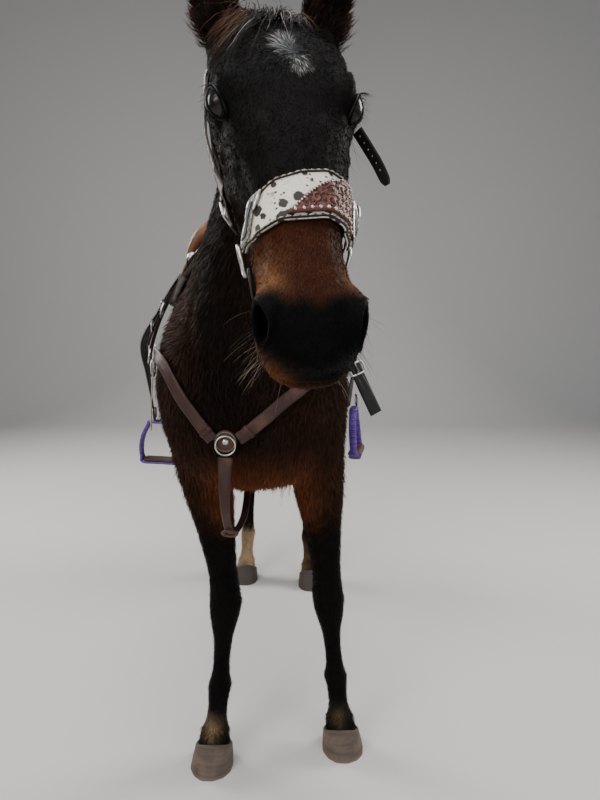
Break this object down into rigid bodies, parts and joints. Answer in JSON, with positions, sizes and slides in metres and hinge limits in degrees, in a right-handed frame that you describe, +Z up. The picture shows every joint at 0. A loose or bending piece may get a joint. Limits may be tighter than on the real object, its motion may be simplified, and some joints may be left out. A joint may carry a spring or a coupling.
{
  "type": "saddled horse",
  "caption": "Standing standardbred horse with its head turned slightly left, in a western saddle, breast collar and wide noseband, as a still model.",
  "frame": {"origin": "middle of the outline's box, on the floor under the hooves", "axes": "+X to the horse's left, +Y from its head to its tail, +Z up"},
  "size_m": [0.7376, 2.4371, 1.8644],
  "materials": {
    "coat": "short dark brown winter hair",
    "points": "black hair of legs, mane and tail",
    "horn": "dull grey-brown hoof horn",
    "eye": "wet dark brown",
    "hide": "white cowhide with black specks",
    "tooled": "red-brown tooled leather",
    "bridle": "dark brown",
    "black_leather": "black, satin",
    "saddle_leather": "mid brown, worn",
    "collar_leather": "oiled brown",
    "silver": "bright, a little worn",
    "purple": "glossy purple lacing",
    "wrap": "dark brown lacing",
    "felt": "dark grey felt",
    "cord": "pale rawhide string"
  },
  "bodies": {
    "root": {"breast_strap_left": "collar_leather", "breast_strap_right": "collar_leather", "cantle": "saddle_leather", "cheek_strap_left": "bridle", "cheek_strap_right": "bridle", "chest_pad": "collar_leather", "chest_ring": "silver", "chin_strap": "black_leather", "cinch": "felt", "cinch_ring_left": "silver", "cinch_ring_right": "silver", "crown_strap": "bridle", "down_strap": "collar_leather", "ear_left": "coat", "ear_right": "coat", "eye_left": "eye", "eye_right": "eye", "fender_left": "black_leather", "fender_right": "black_leather", "foreleg_left": "points", "foreleg_right": "points", "fork": "saddle_leather", "hanging_strap": "black_leather", "head": "coat", "hindleg_left": "points", "hindleg_right": "points", "hoof_fore_left": "horn", "hoof_fore_right": "horn", "hoof_hind_left": "horn", "hoof_hind_right": "horn", "horn": "saddle_leather", "latigo_left": "collar_leather", "latigo_right": "collar_leather", "neck": "coat", "noseband": "hide", "noseband_overlay": "tooled", "noseband_ring_left": "silver", "noseband_ring_right": "silver", "ring_strap_left": "black_leather", "ring_strap_right": "black_leather", "saddle_pad": "felt", "saddle_ring_left": "silver", "saddle_ring_right": "silver", "saddle_string": "cord", "seat": "saddle_leather", "skirt_left": "saddle_leather", "skirt_right": "saddle_leather", "stirrup_left": "purple", "stirrup_right": "purple", "strap_end": "black_leather", "tail": "points", "torso": "coat", "tread_left": "wrap", "tread_right": "wrap"}
  },
  "joints": []
}
